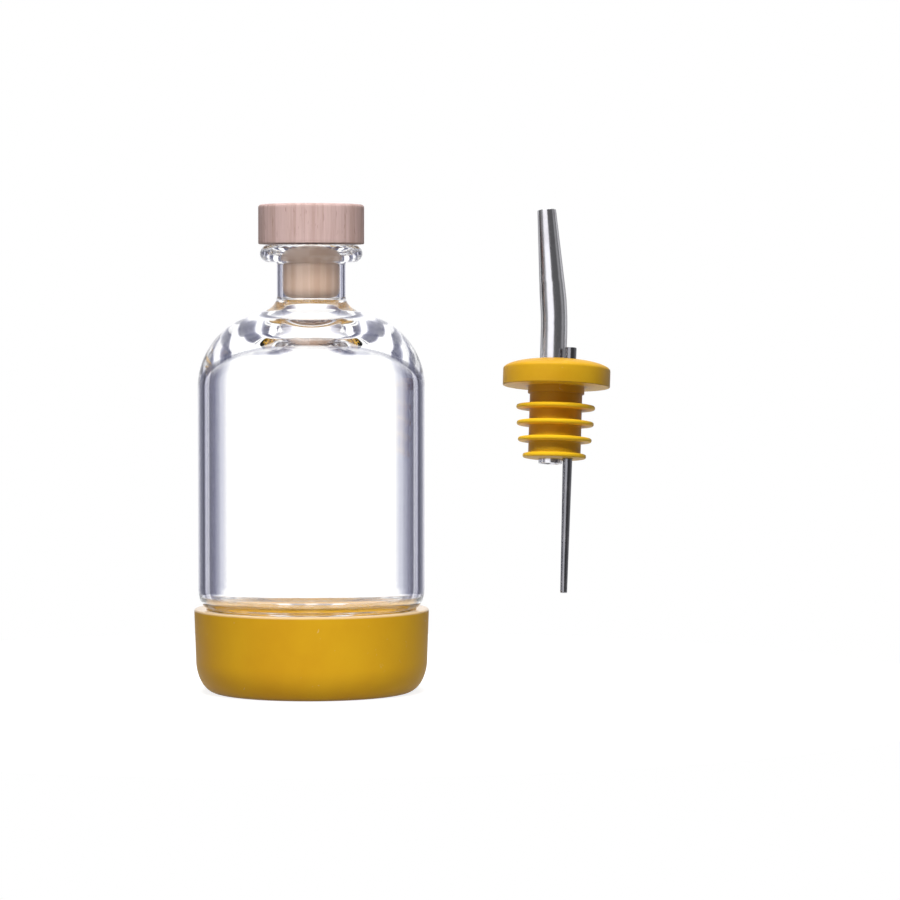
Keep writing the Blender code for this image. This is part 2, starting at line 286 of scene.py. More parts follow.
def mouldedMaterial(name, finish, rimTop=None, place=None):
    # rimTop is the height of a rim that the mould leaves glossy, and whose colour is also lightened as a
    # painted highlight; place is the frame of thin fins, whose rims get a painted highlight
    look, tree, shader = newMaterial(name)
    coords = textureCoords(tree)
    skin = groupNode(tree, mouldedSkin, coords, {
        "Colour": (*finish["colour"], 1),
        "Deep Colour": (*finish["deep"], 1),
        "Lint Colour": (*lintColour, 1),
        "Cloud Scale": finish["clouds"],
        "Pebble Scale": finish["pebbles"],
        "Roughness": finish["roughness"],
        "Lint": finish["lint"],
    })
    colour = skin["Colour"]
    if place:
        # painted highlight: the fins' rims are lightened towards bright yellow, standing in for the light
        # they catch
        rimLight = paintedFinRimLight(tree, coords, place, finish["paintedLightReaches"])
        colour = mixColour(tree, rimLight, colour, (*finish["paintedRimLight"], 1))
    if rimTop:
        height = splitNode(tree, coords)["Z"]
        start, full = finish["rimDepths"]
        rimGlossAndHighlight = between(tree, height, rimTop - start, rimTop - full)
        # painted highlight: the rim's colour is lightened towards pale cream, over the real coat
        paintedHighlight = mathNode(tree, "MULTIPLY", rimGlossAndHighlight, finish["rimPaintedHighlight"])
        colour = mixColour(tree, paintedHighlight, colour, (*finish["rimHighlightColour"], 1))
        coat = mathNode(tree, "MULTIPLY", rimGlossAndHighlight, finish["rimCoat"])
        tree.links.new(coat, shader.inputs["Coat Weight"])
        shader.inputs["Coat Roughness"].default_value = finish["coatRoughness"]
    tree.links.new(colour, shader.inputs["Base Color"])
    tree.links.new(skin["Roughness"], shader.inputs["Roughness"])
    tree.links.new(bumpNode(tree, skin["Height"], finish["bump"], 0.0002), shader.inputs["Normal"])
    shader.inputs["Specular IOR Level"].default_value = finish["gloss"]
    return look


# the glass bottle: thin at its side, heavy in its shoulder and in the dished base
glassShape = {
    "steps": 160,
    "wall": 0.0031,
    "shoulderWall": 0.0078,
    "baseGlass": 0.0218,
    "dishDepth": 0.0060,
    "dishCorner": (0.0040, 0.0046),
    "footTop": 0.0296,
    "heelStep": 0.0034,
    "heelRise": 0.0075,
    "footCorner": 0.0075,
    "pushUp": 0.0018,
    "pushUpRadius": 0.0250,
    "bodyStraight": 0.0697,
    "shoulderRise": 0.0260,
    "shoulderReach": 0.0257,
    "shoulderSlope": 20,
    "neckFillet": 0.0055,
    "bore": 0.0102,
    "boreEdge": 0.0095,
    "neckWall": 0.0018,
    "lipHeight": 0.0060,
    "lipRoot": 0.0008,
    "mouthFlare": 0.0021,
    "mouthDepth": 0.0060,
    "mouthRound": 0.0007,
    "lipInset": 0.0006,
}


def shoulderPoints(bodyRadius, bottom, sideWall, crownWall, side, edge):
    # a face of the shoulder: an oval, a straight slope, and a round edge up into the neck's side
    s = glassShape
    reach = s["shoulderReach"] - sideWall
    rise = s["shoulderRise"] - crownWall
    slope = math.tan(math.radians(s["shoulderSlope"]))
    ovalEnd = math.degrees(math.atan2(rise, reach * slope))
    points = arcPoints((bodyRadius - s["shoulderReach"], bottom), (reach, rise), 0, ovalEnd, 30)
    lastR, lastZ = points[-1]
    edgeR = side + edge * (1 - math.sin(math.radians(s["shoulderSlope"])))
    edgeZ = lastZ + (lastR - edgeR) * slope
    centreZ = edgeZ + edge * math.cos(math.radians(s["shoulderSlope"]))
    points += runPoints(points[-1], (edgeR, edgeZ), 3)
    points += roundPoints((side + edge, centreZ), edge, -90 - s["shoulderSlope"], -180, 12)
    return points


def mouthPoints(bore, top, count=10):
    # the flare from the straight bore up to the mouth; the plug's top follows it
    s = glassShape
    shares = [i / count for i in range(count + 1)]
    return [(bore + s["mouthFlare"] * t * t, top - s["mouthDepth"] * (1 - t)) for t in shares]


def glassInside(bodyRadius, straightTop, bottom, top):
    # from the middle of the dish out and up to the mouth
    s = glassShape
    side = bodyRadius - s["wall"]
    reach, rise = s["dishCorner"]
    edge = side - reach
    rim = bottom + s["baseGlass"] + s["dishDepth"]
    points = [(edge * i / 16, rim - s["dishDepth"] * (1 - (i / 16) ** 2)) for i in range(17)]
    points += arcPoints((edge, rim + rise), (reach, rise), -90, 0, 20)[1:]
    points += runPoints(points[-1], (side, straightTop), 6)
    walls = (s["wall"], s["shoulderWall"])
    points += shoulderPoints(bodyRadius, straightTop, *walls, s["bore"], s["boreEdge"])
    mouth = mouthPoints(s["bore"], top)[:-1]
    points += runPoints(points[-1], mouth[0], 4)
    return points + mouth


def glassOutside(bodyRadius, straightTop, bottom, top):
    # from the lip down to the middle of the push-up
    s = glassShape
    neck = s["bore"] + s["neckWall"]
    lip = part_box("stopper_head")[1][0] - s["lipInset"]
    bead = s["lipHeight"] / 2
    foot = bodyRadius - s["heelStep"]
    heelTop = straightTop - s["bodyStraight"]
    corner = s["footCorner"]
    points = roundPoints((lip - bead, top - bead), bead, 90, -90, 24)
    root = (neck + s["lipRoot"], top - s["lipHeight"] - s["lipRoot"])
    points += roundPoints(root, s["lipRoot"], 90, 180, 8)
    shoulder = shoulderPoints(bodyRadius, straightTop, 0, 0, neck, s["neckFillet"])[::-1]
    points += runPoints(points[-1], shoulder[0], 4)
    points += shoulder
    points += runPoints(shoulder[-1], (bodyRadius, heelTop), 6)
    points += arcPoints((foot, heelTop), (s["heelStep"], s["heelRise"]), 0, -90, 18)
    points += runPoints(points[-1], (foot, bottom + corner), 3)
    points += roundPoints((foot - corner, bottom + corner), corner, 0, -90, 14)
    rises = [(1 - i / 16, s["pushUp"] * (1 - math.cos(math.pi * i / 16)) / 2) for i in range(17)]
    return points + [(s["pushUpRadius"] * t, bottom + rise) for t, rise in rises]


def glassBottle():
    s = glassShape
    bottom, top = nodeHeights("glass_bottle")
    bodyRadius = nodeRadius("glass_bottle")
    straightTop = s["footTop"] + s["heelRise"] + s["bodyStraight"]
    mouth = s["bore"] + s["mouthFlare"] + s["mouthRound"]
    inner = glassInside(bodyRadius, straightTop, bottom, top)
    inner += roundPoints((mouth, top - s["mouthRound"]), s["mouthRound"], 160, 90, 6)
    outer = [inner[-1]] + glassOutside(bodyRadius, straightTop, bottom, top)
    bm = bmesh.new()
    spinProfile(bm, outer, s["steps"], 0)
    spinProfile(bm, inner, s["steps"], 1)
    closeUp(bm)
    return bm


glassFinish = {
    "ior": 1.5,
    "smear": 0.012,
    "waveScale": 32.0,
    "outerWave": 0.05,
    "innerWave": 0.10,
    "blueShare": 0.76,
    # painted shade across the glass towards its outline: place by Layer Weight facing, and tone
    "paintedEdgeShades": (
        (0.0, 1.0), (0.40, 1.0), (0.42, 0.85), (0.47, 0.60), (0.52, 0.31), (0.545, 0.16), (0.56, 0.22),
        (0.575, 0.70), (0.60, 0.50), (0.635, 0.45), (0.66, 0.16), (0.685, 0.14), (0.705, 0.42),
        (0.74, 0.55), (0.82, 0.60), (1.0, 0.80),
    ),
    "shadedTilts": (0.15, 0.45),
}


def glassSurfaceGroup():
    # blown glass: a slow waviness, and handling smears that dull it very slightly
    tree, given, made = newGroup(
        "glassSurface",
        (("Coords", "Vector"), ("Wave Scale", "Float"), ("Smear", "Float")),
        (("Roughness", "Float"), ("Height", "Float")),
    )
    drawn = mapped(tree, given["Coords"], stretch=(1, 1, 0.35))
    tree.links.new(noiseNode(tree, drawn, given["Wave Scale"], 1.0, 0.4), made["Height"])
    smears = between(tree, noiseNode(tree, given["Coords"], 90.0, 5.0, 0.6, 0.8), 0.52, 0.72)
    tree.links.new(mathNode(tree, "MULTIPLY", smears, given["Smear"]), made["Roughness"])
    return tree


glassSurface = glassSurfaceGroup()


def paintedEdgeShade(tree, g):
    # painted shade: by viewing angle, the glass's colour is darkened and tinted blue in bands towards its
    # outline, standing in for the dark and pale bands that the glass refracts and mirrors; the painted shade
    # is left out inside the glass and where the surface tilts up or down
    weight = tree.nodes.new("ShaderNodeLayerWeight")
    weight.inputs["Blend"].default_value = 0.5
    stops = [(place, (t * t, t * t, t ** (2 * g["blueShare"]))) for place, t in g["paintedEdgeShades"]]
    shade = rampNode(tree, weight.outputs["Facing"], stops)
    back = tree.nodes.new("ShaderNodeNewGeometry").outputs["Backfacing"]
    upward = mathNode(tree, "ABSOLUTE", splitNode(tree, textureCoords(tree, "Normal"))["Z"])
    unshaded = mathNode(tree, "MAXIMUM", back, between(tree, upward, *g["shadedTilts"]))
    return mixColour(tree, unshaded, shade, (1, 1, 1, 1))


def glassMaterial(name, wave, shaded):
    g = glassFinish
    look, tree, shader = newMaterial(name)
    values = {"Wave Scale": g["waveScale"], "Smear": g["smear"]}
    skin = groupNode(tree, glassSurface, textureCoords(tree), values)
    tree.links.new(skin["Roughness"], shader.inputs["Roughness"])
    tree.links.new(bumpNode(tree, skin["Height"], wave, 0.0005), shader.inputs["Normal"])
    shader.inputs["IOR"].default_value = g["ior"]
    shader.inputs["Transmission Weight"].default_value = 1.0
    shader.inputs["Base Color"].default_value = (1, 1, 1, 1)
    if shaded:
        tree.links.new(paintedEdgeShade(tree, g), shader.inputs["Base Color"])

    # the lamps' light reaches the boot and the plug straight through the glass
    path = tree.nodes.new("ShaderNodeLightPath")
    seeThrough = tree.nodes.new("ShaderNodeBsdfTransparent")
    mix = tree.nodes.new("ShaderNodeMixShader")
    out = next(n for n in tree.nodes if n.type == "OUTPUT_MATERIAL")
    tree.links.new(path.outputs["Is Shadow Ray"], mix.inputs[0])
    tree.links.new(shader.outputs[0], mix.inputs[1])
    tree.links.new(seeThrough.outputs[0], mix.inputs[2])
    tree.links.new(mix.outputs[0], out.inputs["Surface"])
    return look


outerGlass = glassMaterial("clear_glass_outside", glassFinish["outerWave"], True)
innerGlass = glassMaterial("clear_glass_inside", glassFinish["innerWave"], False)
bottleGlass = newObject("bottle_glass", glassBottle(), (outerGlass, innerGlass))
finishPiece(bottleGlass, "bottle", "glass_bottle")


# the silicone boot
bootShape = {
    "steps": 160,
    "floor": 0.0033,
    "draft": 0.0006,
    "cornerReach": 0.0074,
    "cornerRise": 0.0116,
    "rimRound": 0.0006,
    "wall": 0.0045,
    "insideCorner": 0.0075,
}

bootFinish = {
    "colour": (0.665, 0.365, 0.012),
    "deep": (0.60, 0.305, 0.010),
    "clouds": 26.0,
    "pebbles": 1500.0,
    "roughness": 0.50,
    "gloss": 0.12,
    "rimDepths": (0.0009, 0.0003),
    "rimCoat": 0.9,
    "coatRoughness": 0.06,
    # the rim's coat is real gloss; its colour is also lightened as a painted highlight
    "rimPaintedHighlight": 0.3,
    "rimHighlightColour": (0.95, 0.86, 0.74),
    "bump": 0.30,
    "lint": 0.20,
}


def siliconeBoot():
    s = bootShape
    bottom, top = nodeHeights("silicone_boot")
    radius = nodeRadius("silicone_boot")
    inside = radius - s["wall"]
    corner = s["insideCorner"]
    foot = radius - s["draft"] - s["cornerReach"]
    rim = top - s["rimRound"]
    points = [(0, bottom + s["floor"])]
    points += runPoints(points[-1], (inside - corner, bottom + s["floor"]), 3)
    points += roundPoints((inside - corner, bottom + s["floor"] + corner), corner, -90, 0, 12)
    points += runPoints(points[-1], (inside, rim), 3)
    points += roundPoints((inside + s["rimRound"], rim), s["rimRound"], 180, 90, 6)
    points += roundPoints((radius - s["rimRound"], rim), s["rimRound"], 90, 0, 6)
    side = arcPoints((foot, bottom + s["cornerRise"]), (s["cornerReach"], s["cornerRise"]), 0, -90, 24)
    points += runPoints(points[-1], side[0], 5)
    points += side
    points += runPoints(side[-1], (0, bottom), 3)
    points += [(0, bottom)]
    return turned(points, s["steps"])


mustard = mouldedMaterial("mustard_silicone", bootFinish, rimTop=nodeHeights("silicone_boot")[1])
bootPiece = newObject("boot_silicone", siliconeBoot(), (mustard,))
finishPiece(bootPiece, "boot", "silicone_boot")


# the stopper: a wooden head and a rubber plug
stopperShape = {
    "steps": 128,
    "topRound": 0.0011,
    "footRound": 0.0004,
    "spigot": 0.0060,
    "spigotLength": 0.0070,
    "gap": 0.0003,
    "plugFit": 0.00014,
    "tipRound": (0.0035, 0.0046),
    "waist": 0.0008,
    # height above the flare's foot, and share of the waist's depth
    "waistSteps": ((0.0008, 0.2), (0.0002, 1), (-0.0002, 1), (-0.0009, 0.2), (-0.0016, 0)),
}

woodFinish = {
    "pale": (0.58, 0.42, 0.40),
    "dark": (0.44, 0.30, 0.262),
    "fleck": (0.26, 0.15, 0.12),
    "pith": (0.055, 0.031, 0.0),
    "rings": 260.0,
    "sway": 3.2,
    "streaks": 1300.0,
    "flecks": 1900.0,
    "patches": 170.0,
    # how much the rings, the streaks and the patches darken the wood
    "shares": (0.16, 0.55, 0.45),
    "fleckDepth": 0.6,
    "roughness": 0.55,
    "gloss": 0.15,
    "bump": 0.35,
}

plugFinish = {
    "colour": (0.56, 0.39, 0.29),
    "deep": (0.49, 0.335, 0.24),
    "clouds": 70.0,
    "pebbles": 2200.0,
    "roughness": 0.42,
    "gloss": 0.30,
    "bump": 0.22,
    "lint": 0.15,
}


def stopperHead():
    s = stopperShape
    bottom, top = nodeHeights("stopper_head")
    radius = nodeRadius("stopper_head")
    socket = s["spigot"] + s["gap"]
    socketTop = bottom + s["spigotLength"] + s["gap"]
    points = [(0, top)]
    points += runPoints(points[-1], (radius - s["topRound"], top), 4)
    points += roundPoints((radius - s["topRound"], top - s["topRound"]), s["topRound"], 90, 0, 8)
    foot = roundPoints((radius - s["footRound"], bottom + s["footRound"]), s["footRound"], 0, -90, 5)
    points += runPoints(points[-1], foot[0], 4)
    points += foot
    points += [(socket, bottom), (socket, socketTop), (0, socketTop)]
    return turned(points, s["steps"])


def stopperPlug():
    s = stopperShape
    bottom, top = nodeHeights("stopper_plug")
    radius = glassShape["bore"] - s["plugFit"]
    seat = top - s["spigotLength"] - s["gap"]
    reach, rise = s["tipRound"]
    points = [(0, top), (s["spigot"], top), (s["spigot"], seat)]
    points += mouthPoints(radius, seat)[:2:-1]
    flareFoot = seat - glassShape["mouthDepth"]
    points += [(radius - s["waist"] * share, flareFoot + rise) for rise, share in s["waistSteps"]]
    tip = arcPoints((radius - reach, bottom + rise), (reach, rise), 0, -90, 16)
    points += runPoints(points[-1], tip[0], 3)
    points += tip
    points += runPoints(tip[-1], (0, bottom), 3)
    points += [(0, bottom)]
    return turned(points, s["steps"])


def woodMaterial(name):
    # beech with its grain along the axis: rings round a far pith, fibres, and short dark flecks
    w = woodFinish
    look, tree, shader = newMaterial(name)
    coords = textureCoords(tree)
    lengthwise = mapped(tree, coords, stretch=(1, 1, 0.05))
    sway = noiseNode(tree, lengthwise, 60.0, 3.0, 0.6)

    reach = lengthNode(tree, mapped(tree, coords, place=w["pith"], stretch=(1, 1, 0.02)))
    turns = mathNode(tree, "MULTIPLY", reach, w["rings"])
    turns = mathNode(tree, "MULTIPLY_ADD", sway, w["sway"], turns)
    rings = between(tree, mathNode(tree, "FRACT", turns), 0.0, 1.0)
    fibres = noiseNode(tree, lengthwise, w["streaks"], 4.0, 0.65)
    short = mapped(tree, coords, stretch=(1, 1, 0.14))
    flecks = between(tree, noiseNode(tree, short, w["flecks"], 1.0, 0.5), 0.66, 0.76)

    patches = noiseNode(tree, lengthwise, w["patches"], 2.0, 0.5)
    ringShare, fibreShare, patchShare = w["shares"]
    tone = mathNode(tree, "MULTIPLY_ADD", rings, ringShare, mathNode(tree, "MULTIPLY", fibres, fibreShare))
    tone = mathNode(tree, "MULTIPLY_ADD", patches, patchShare, tone, clamp=True)
    colour = mixColour(tree, between(tree, tone, 0.38, 0.82), (*w["pale"], 1), (*w["dark"], 1))
    fleckMask = mathNode(tree, "MULTIPLY", flecks, w["fleckDepth"])
    colour = mixColour(tree, fleckMask, colour, (*w["fleck"], 1))
    tree.links.new(colour, shader.inputs["Base Color"])
    rough = mathNode(tree, "MULTIPLY_ADD", fibres, 0.2, w["roughness"] - 0.1)
    tree.links.new(rough, shader.inputs["Roughness"])
    height = mathNode(tree, "MULTIPLY", mathNode(tree, "SUBTRACT", fibres, flecks), 0.5)
    tree.links.new(bumpNode(tree, height, w["bump"], 0.0002), shader.inputs["Normal"])
    shader.inputs["Specular IOR Level"].default_value = w["gloss"]
    return look


beech = woodMaterial("pale_beech")
beigeRubber = mouldedMaterial("beige_rubber", plugFinish)
headPiece = newObject("head_wood", stopperHead(), (beech,))
finishPiece(headPiece, "stopper", "stopper_head", 40)
plugPiece = newObject("plug_rubber", stopperPlug(), (beigeRubber,))
finishPiece(plugPiece, "stopper", "stopper_plug", 40)


# the pourer, built upright on its own axis and then set at the place that the record gives
pourerShape = {
    "steps": 128,
    "seatOffset": 0.0140,
    "collar": 0.00988,
    "core": 0.00918,
    "flange": 0.01878,
    "collarLength": 0.0026,
    "band": 0.0058,
    "dome": 0.0040,
    "edgeRound": 0.0004,
    "finReaches": (0.0046, 0.0043, 0.0037, 0.0019),
    "finRoot": 0.0020,
    "finTip": 0.0014,
    "finFillet": 0.0004,
    "tipShare": 0.9,
    "collarRound": 0.0002,
    "coreRound": 0.0001,
    "firstFin": 0.0073,
    "finPitch": 0.0057,
    "fit": 0.0003,
    "boreSteps": 64,
    "boreSpare": 0.002,
}

spoutShape = {
    "sides": 64,
    "wall": 0.0005,
    "barrel": 0.0047,
    "tail": 0.0041,
    "tip": 0.0033,
    "tipHeight": 0.0625,
    "taperHeight": 0.0320,
    "bendHeight": 0.0250,
    "bendLength": 0.0120,
    "lean": 5.8,
    "tailDrop": 0.0016,
    "place": (-0.0013, 0.0022),
}

airShape = {
    "sides": 48,
    "wall": 0.0004,
    "topRadius": 0.0021,
    "tipRadius": 0.0012,
    "rise": 0.0037,
    "length": 0.0857,
    "bearing": -44,
    "web": 0.0007,
}

bungFinish = {
    "colour": (0.69, 0.39, 0.014),
    "deep": (0.63, 0.33, 0.011),
    "clouds": 60.0,
    "pebbles": 1900.0,
    "roughness": 0.42,
    "gloss": 0.25,
    "bump": 0.25,
    "lint": 0.20,
    # painted highlight on the fins' rims: where it starts and is full, and its colour
    "paintedLightReaches": (0.0100, 0.0112),
    "paintedRimLight": (1.0, 0.60, 0.02),
}

spoutFinish = {
    "colour": (0.62, 0.615, 0.635),
    "stain": (0.52, 0.50, 0.52),
    "roughness": 0.19,
    "drawLines": 3200.0,
    "bump": 0.12,
}

# painted shade: the air tube takes a darker copy of the same polished steel, which dims its reflections
airFinish = {
    "colour": (0.21, 0.21, 0.225),
    "stain": (0.29, 0.28, 0.29),
    "roughness": 0.17,
    "drawLines": 4200.0,
    "bump": 0.12,
}


def pourerPlace():
    seat = next(m for m in record["mounts"] if m["name"] == "pourer_seat")
    up = -Vector(seat["axis"]).normalized()
    side = Vector((up.z, 0, -up.x)).normalized()
    place = Matrix((side, up.cross(side), up)).transposed().to_4x4()
    place.translation = Vector(seat["pos_m"]) + side * pourerShape["seatOffset"]
    return place


atPourer = pourerPlace()


def setDown(bm, offset):
    # moves a mesh aside in the pourer's own upright frame, then to its place beside the bottle
    bmesh.ops.translate(bm, verts=bm.verts[:], vec=(*offset, 0))
    bmesh.ops.transform(bm, verts=bm.verts[:], matrix=atPourer)


def bungBottom():
    s = pourerShape
    return -(s["firstFin"] + s["finPitch"] * (len(s["finReaches"]) - 1) + s["finRoot"] / 2)


def spoutRadius(height):
    # thinner down its tail, straight through the flange, then tapered to the tip
    s = spoutShape
    if height < 0:
        share = height / (bungBottom() - s["tailDrop"])
        return s["barrel"] + (s["tail"] - s["barrel"]) * share
    share = (height - s["taperHeight"]) / (s["tipHeight"] - s["taperHeight"])
    return s["barrel"] + (s["tip"] - s["barrel"]) * max(0, share)


def spoutLean(height):
    # how far the spout has leant to the left, and how steeply it leans there
    s = spoutShape
    into = height - s["bendHeight"] + s["bendLength"] / 2
    slope = math.tan(math.radians(s["lean"]))
    if into <= 0:
        return 0, 0
    if into < s["bendLength"]:
        return slope * into**2 / (2 * s["bendLength"]), slope * into / s["bendLength"]
    return slope * (into - s["bendLength"] / 2), slope


def airTop():
    return pourerShape["band"] + pourerShape["dome"] + airShape["rise"]


def airRadius(height):
    s = airShape
    share = (airTop() - height) / s["length"]
    return s["topRadius"] + (s["tipRadius"] - s["topRadius"]) * share


def airPlace():
    spacing = spoutShape["barrel"] + airShape["topRadius"] + 2 * pourerShape["fit"] + airShape["web"]
    bearing = math.radians(airShape["bearing"])
    x, y = spoutShape["place"]
    return x + spacing * math.cos(bearing), y + spacing * math.sin(bearing)


def tubeRings(heights, radiusAt, leanAt, wall):
    # (centre, radius, tilt) up the outer side, over the rounded rim, down the bore and round again
    half = wall / 2
    low, high = heights[0] + half, heights[-1] - half
    heights = [low] + [z for z in heights[1:-1] if low < z < high] + [high]
    turns = [math.pi * i / 4 for i in range(1, 4)]
    stations = [(z, radiusAt(z), 0) for z in heights]
    stations += [(high, radiusAt(high) - half + half * math.cos(a), half * math.sin(a)) for a in turns]
    stations += [(z, radiusAt(z) - wall, 0) for z in reversed(heights)]
    stations += [(low, radiusAt(low) - half - half * math.cos(a), -half * math.sin(a)) for a in turns]
    rings = []
    for height, radius, push in stations:
        lean, slope = leanAt(height)
        tilt = math.atan(slope)
        centre = Vector((-lean - push * math.sin(tilt), 0, height + push * math.cos(tilt)))
        rings.append((centre, radius, -tilt))
    return rings


def tubeMesh(rings, sides, place):
    # one ring of edges is extruded from station to station, and the last is bridged to the first
    def placeRing(verts, ring):
        centre, radius, tilt = ring
        turn = Matrix.Rotation(tilt, 3, "Y")
        for i, vert in enumerate(verts):
            angle = math.tau * i / sides
            vert.co = centre + turn @ Vector((radius * math.cos(angle), radius * math.sin(angle), 0))

    bm = bmesh.new()
    verts = bmesh.ops.create_circle(bm, cap_ends=False, radius=1, segments=sides)["verts"]
    firstEdges = list({e for v in verts for e in v.link_edges})
    edges = firstEdges
    placeRing(verts, rings[0])
    for ring in rings[1:]:
        made = bmesh.ops.extrude_edge_only(bm, edges=edges)["geom"]
        newVerts = [g for g in made if isinstance(g, bmesh.types.BMVert)]
        fresh = set(newVerts)
        madeEdges = [g for g in made if isinstance(g, bmesh.types.BMEdge)]
        edges = [e for e in madeEdges if all(v in fresh for v in e.verts)]
        centre = sum((v.co for v in newVerts), Vector()) / len(newVerts)
        newVerts.sort(key=lambda v: math.atan2(v.co.y - centre.y, v.co.x - centre.x) % math.tau)
        placeRing(newVerts, ring)
    bmesh.ops.bridge_loops(bm, edges=firstEdges + edges)
    bmesh.ops.recalc_face_normals(bm, faces=bm.faces[:])
    setDown(bm, place)
    return bm


def pourSpout():
    # rings close to each end, to the flange's plane and through the bend, and a few up the taper
    s = spoutShape
    low = bungBottom() - s["tailDrop"]
    bendStart = s["bendHeight"] - s["bendLength"] / 2
    heights = [low, low + 0.0006, -0.0004, 0.0004]
    heights += [bendStart + s["bendLength"] * i / 16 for i in range(17)]
    heights += [s["taperHeight"] + 0.002 * i for i in range(1, 6)]
    heights += [s["tipHeight"] - 0.010, s["tipHeight"] - 0.0006, s["tipHeight"]]
    rings = tubeRings(sorted(set(heights)), spoutRadius, spoutLean, s["wall"])
    return tubeMesh(rings, s["sides"], s["place"])


def airTube():
    s = airShape
    top = airTop()
    bottom = top - s["length"]
    heights = [bottom, bottom + 0.0006, top - 0.0006, top]
    heights += [bottom + s["length"] * i / 8 for i in range(1, 8)]
    rings = tubeRings(sorted(heights), airRadius, lambda z: (0, 0), s["wall"])
    return tubeMesh(rings, s["sides"], airPlace())


def roundedPath(corners, count=5):
    # a path through (radius, height, round) corners, each rounded where its round isn't 0
    points = []
    for i, (r, z, size) in enumerate(corners):
        here = Vector((r, z))
        if not size:
            points.append((r, z))
            continue
        back = (Vector(corners[i - 1][:2]) - here).normalized()
        ahead = (Vector(corners[i + 1][:2]) - here).normalized()
        half = back.angle(ahead) / 2
        middle = here + (back + ahead).normalized() * size / math.sin(half)
        start = here + back * size / math.tan(half) - middle
        end = here + ahead * size / math.tan(half) - middle
        for n in range(count + 1):
            spoke = start.lerp(end, n / count).normalized() * size
            points.append(tuple(middle + spoke))
    return points


def bungProfile():
    s = pourerShape
    top = arcPoints((0, s["band"]), (s["flange"], s["dome"]), 90, 0, 36)[:-1]
    top[0] = (0, s["band"] + s["dome"])
    fillet = s["finFillet"]
    corners = [
        (s["flange"], s["band"], 0),
        (s["flange"], 0, s["edgeRound"]),
        (s["collar"], 0, fillet),
        (s["collar"], -s["collarLength"], s["collarRound"]),
        (s["core"], -s["collarLength"], s["coreRound"]),
    ]
    root, tip = s["finRoot"] / 2, s["finTip"] / 2
    for number, reach in enumerate(s["finReaches"]):
        height = -(s["firstFin"] + s["finPitch"] * number)
        last = number == len(s["finReaches"]) - 1
        corners += [
            (s["core"], height + root, fillet),
            (s["core"] + reach, height + tip, tip * s["tipShare"]),
            (s["core"] + reach, height - tip, tip * s["tipShare"]),
            (s["core"], height - root, 0 if last else fillet),
        ]
    corners += [(0, bungBottom(), 0)]
    return top + roundedPath(corners)


def boreCutter(name, radiusAt, place):
    # a tube's hole through the bung, a fit larger than the tube
    s = pourerShape
    heights = (s["band"] + s["dome"] + s["boreSpare"], 0, bungBottom() - s["boreSpare"])
    points = [(radiusAt(z) + s["fit"], z) for z in heights]
    bm = turned([(0, heights[0])] + points + [(0, heights[-1])], s["boreSteps"])
    setDown(bm, place)
    return newObject(name, bm)


def pourerBung(look):
    bm = turned(bungProfile(), pourerShape["steps"])
    setDown(bm, (0, 0))
    bung = newObject("bung_silicone", bm, (look,))
    cutters = [
        boreCutter("spout_bore", spoutRadius, spoutShape["place"]),
        boreCutter("air_bore", airRadius, airPlace()),
    ]
    for cutter in cutters:
        cut = bung.modifiers.new(cutter.name, "BOOLEAN")
        cut.operation = "DIFFERENCE"
        cut.object = cutter
    bpy.context.view_layer.update()
    cutBung = bung.evaluated_get(bpy.context.evaluated_depsgraph_get())
    drilled = bpy.data.meshes.new_from_object(cutBung)
    bung.modifiers.clear()
    bung.data = drilled
    for cutter in cutters:
        bpy.data.objects.remove(cutter)
    return bung


def steelMaterial(name, f):
    # polished tube: fine lines along its length, and faint stains that dull it
    look, tree, shader = newMaterial(name)
    coords = textureCoords(tree)
    lines = noiseNode(tree, mapped(tree, coords, stretch=(1, 1, 0.02)), f["drawLines"], 3.0, 0.6)
    stains = between(tree, noiseNode(tree, coords, 130.0, 4.0, 0.6, 0.5), 0.45, 0.70)
    stained = mathNode(tree, "MULTIPLY", stains, 0.6)
    colour = mixColour(tree, stained, (*f["colour"], 1), (*f["stain"], 1))
    tree.links.new(colour, shader.inputs["Base Color"])
    rough = mathNode(tree, "MULTIPLY_ADD", lines, 0.08, f["roughness"] - 0.04)
    rough = mathNode(tree, "ADD", rough, mathNode(tree, "MULTIPLY", stains, 0.06))
    tree.links.new(rough, shader.inputs["Roughness"])
    tree.links.new(bumpNode(tree, lines, f["bump"], 0.00005), shader.inputs["Normal"])
    shader.inputs["Metallic"].default_value = 1.0
    return look


steel = steelMaterial("polished_steel", spoutFinish)
# the darker copy for the air tube is painted shade that dims its reflections
shadedSteel = steelMaterial("polished_steel_dark", airFinish)
bungSilicone = mouldedMaterial("mustard_bung_silicone", bungFinish, place=atPourer)
spoutPiece = newObject("spout_steel", pourSpout(), (steel,))
finishPiece(spoutPiece, "spout", "pour_spout", 50)
airPiece = newObject("air_steel", airTube(), (shadedSteel,))
finishPiece(airPiece, "air_tube", "air_tube", 50)
bungPiece = pourerBung(bungSilicone)
finishPiece(bungPiece, "pourer", "pourer_bung", 40)


